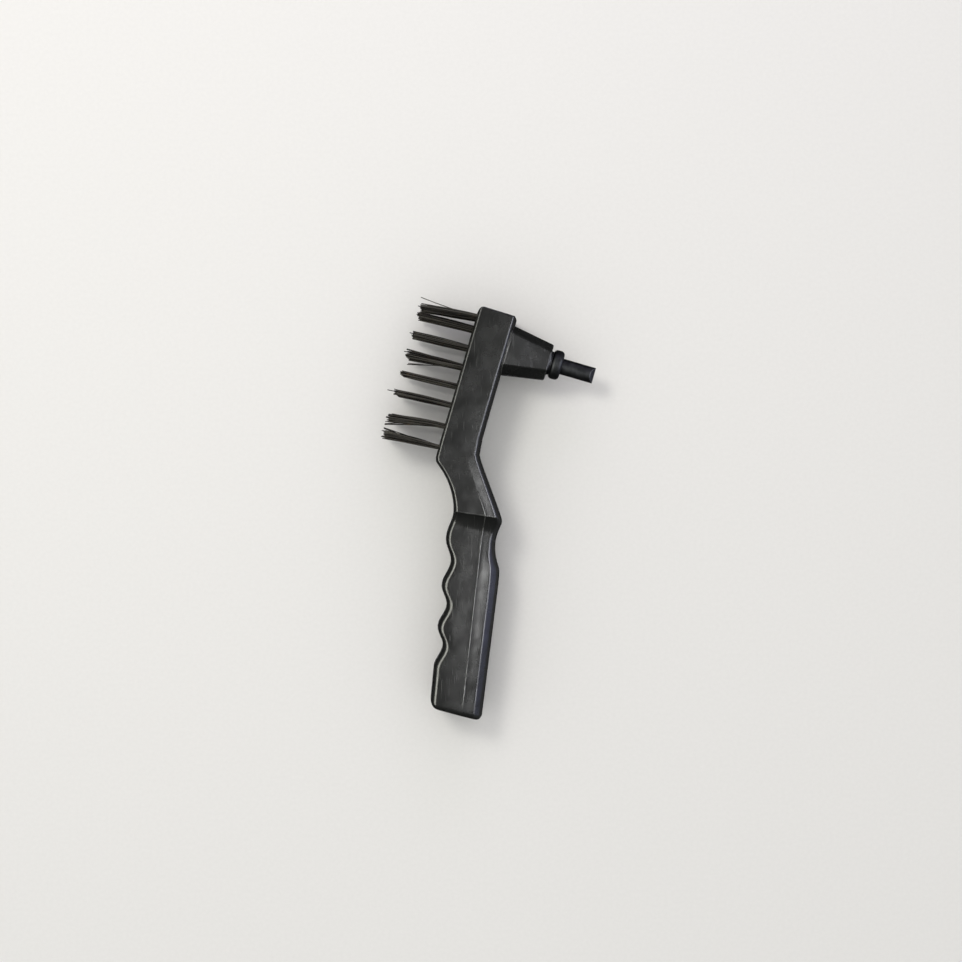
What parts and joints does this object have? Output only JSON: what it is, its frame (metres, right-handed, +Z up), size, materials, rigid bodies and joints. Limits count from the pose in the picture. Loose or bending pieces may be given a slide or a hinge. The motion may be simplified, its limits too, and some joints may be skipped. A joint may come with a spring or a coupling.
{
  "type": "chipping hammer with wire brush",
  "caption": "Black moulded hand tool with a finger grip, a wire brush on one side of its head and a short steel hammer pin on the other, lying on its side.",
  "frame": {"origin": "on the resting surface, under the middle of the whole tool", "axes": "+Y from the butt of the grip to the head, +X towards the hammer pin, +Z up through the depth of the head, with the tool lying on its side"},
  "size_m": [0.085, 0.1651, 0.024],
  "materials": {
    "handle_plastic": "satin black moulded polypropylene",
    "pin_steel": "black oxide, lightly oiled",
    "wire_steel": "dark tempered spring wire",
    "staple_steel": "flat drawn wire, bright"
  },
  "bodies": {
    "root": {"handle": "handle_plastic", "hammer_pin": "pin_steel", "pin_collar": "pin_steel", "tuft_1_lower": "wire_steel", "tuft_1_middle": "wire_steel", "tuft_1_upper": "wire_steel", "tuft_2_lower": "wire_steel", "tuft_2_middle": "wire_steel", "tuft_2_upper": "wire_steel", "tuft_3_lower": "wire_steel", "tuft_3_middle": "wire_steel", "tuft_3_upper": "wire_steel", "tuft_4_lower": "wire_steel", "tuft_4_middle": "wire_steel", "tuft_4_upper": "wire_steel", "tuft_5_lower": "wire_steel", "tuft_5_middle": "wire_steel", "tuft_5_upper": "wire_steel", "tuft_6_lower": "wire_steel", "tuft_6_middle": "wire_steel", "tuft_6_upper": "wire_steel", "tuft_7_lower": "wire_steel", "tuft_7_middle": "wire_steel", "tuft_7_upper": "wire_steel", "tuft_8_lower": "wire_steel", "tuft_8_middle": "wire_steel", "tuft_8_upper": "wire_steel", "staple_1_lower": "staple_steel", "staple_1_middle": "staple_steel", "staple_1_upper": "staple_steel", "staple_2_lower": "staple_steel", "staple_2_middle": "staple_steel", "staple_2_upper": "staple_steel", "staple_3_lower": "staple_steel", "staple_3_middle": "staple_steel", "staple_3_upper": "staple_steel", "staple_4_lower": "staple_steel", "staple_4_middle": "staple_steel", "staple_4_upper": "staple_steel", "staple_5_lower": "staple_steel", "staple_5_middle": "staple_steel", "staple_5_upper": "staple_steel", "staple_6_lower": "staple_steel", "staple_6_middle": "staple_steel", "staple_6_upper": "staple_steel", "staple_7_lower": "staple_steel", "staple_7_middle": "staple_steel", "staple_7_upper": "staple_steel", "staple_8_lower": "staple_steel", "staple_8_middle": "staple_steel", "staple_8_upper": "staple_steel"}
  },
  "joints": []
}
